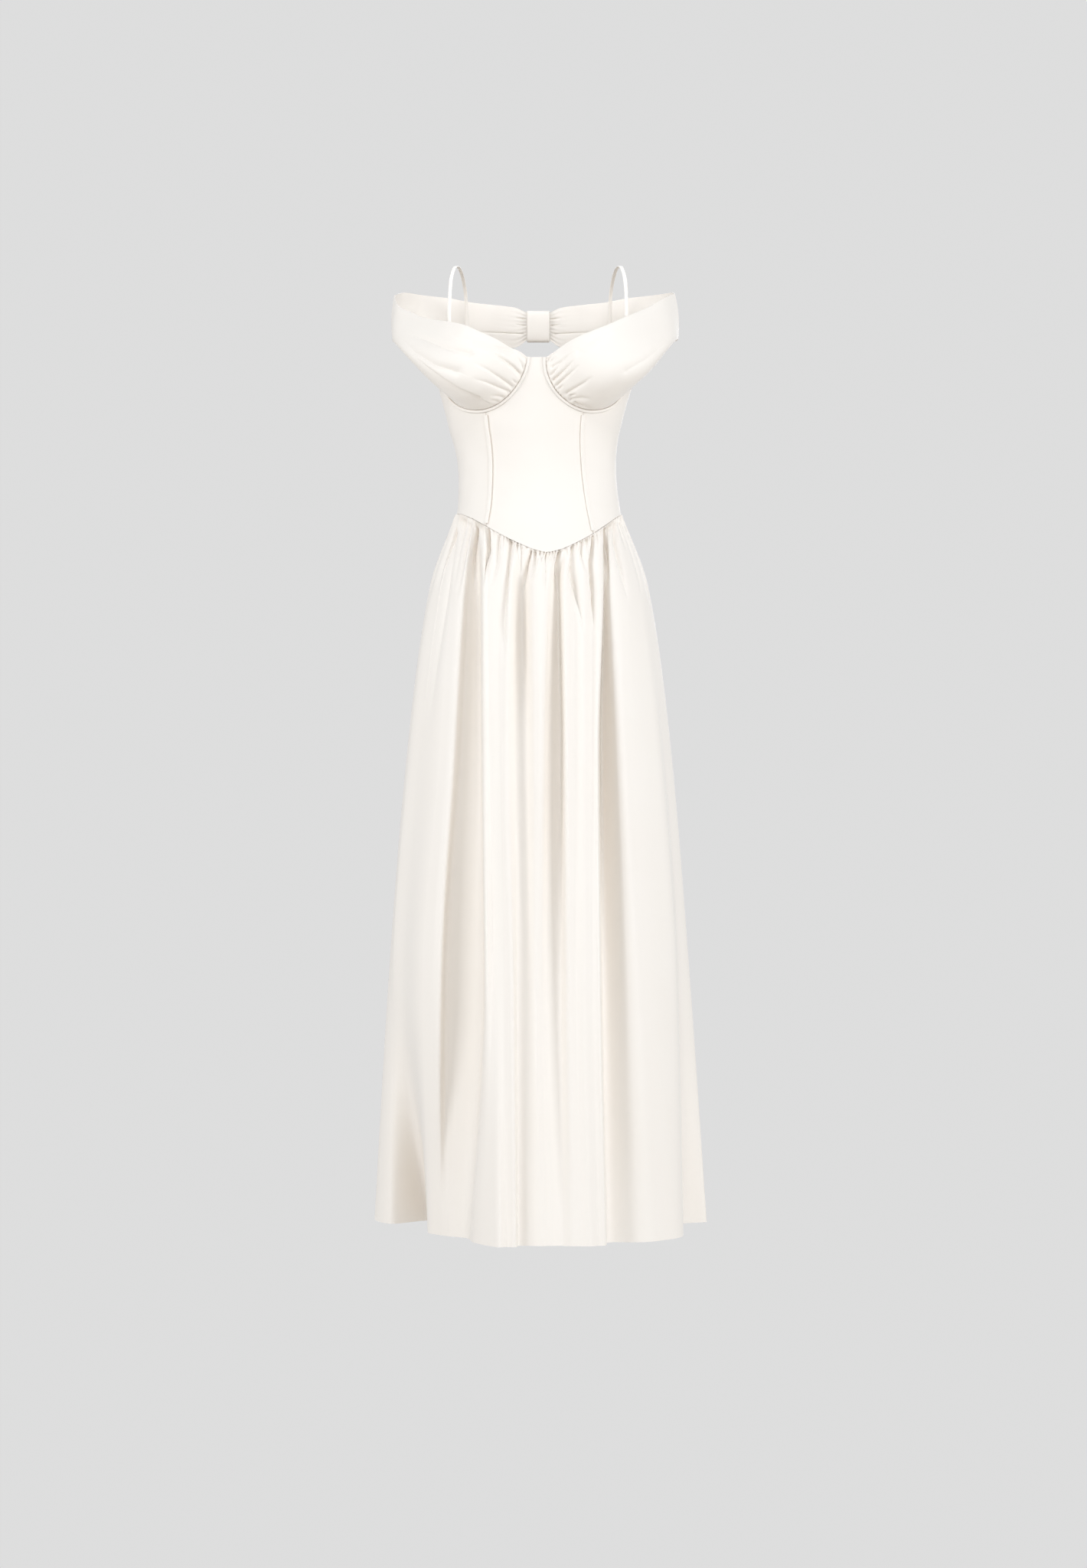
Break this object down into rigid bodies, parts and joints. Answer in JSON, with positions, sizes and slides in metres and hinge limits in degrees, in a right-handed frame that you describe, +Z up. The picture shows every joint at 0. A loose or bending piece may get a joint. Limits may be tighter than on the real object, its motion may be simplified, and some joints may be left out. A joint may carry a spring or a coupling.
{
  "type": "off-shoulder maxi dress",
  "caption": "Floor-length off-shoulder dress with a corset bodice, pointed waist, gathered cups, thin straps and a full gathered skirt, in its hollow worn form.",
  "frame": {"origin": "middle of the natural waist, on the wearer's centre line, where the body inside holds the dress", "axes": "+Z up the body, -Y out of the dress's front, +X towards the wearer's left"},
  "size_m": [0.4963, 0.4293, 1.4172],
  "materials": {
    "ivory_crepe": "soft satin-faced crepe"
  },
  "bodies": {
    "root": {"back_band_left": "ivory_crepe", "back_band_right": "ivory_crepe", "back_loop": "ivory_crepe", "bodice_back_left": "ivory_crepe", "bodice_back_right": "ivory_crepe", "bodice_centre_front": "ivory_crepe", "bodice_side_front_left": "ivory_crepe", "bodice_side_front_right": "ivory_crepe", "boning_channel_left": "ivory_crepe", "boning_channel_right": "ivory_crepe", "cup_drape_left": "ivory_crepe", "cup_drape_right": "ivory_crepe", "skirt_back": "ivory_crepe", "skirt_front": "ivory_crepe", "strap_left": "ivory_crepe", "strap_right": "ivory_crepe", "wire_channel_left": "ivory_crepe", "wire_channel_right": "ivory_crepe"}
  },
  "joints": []
}
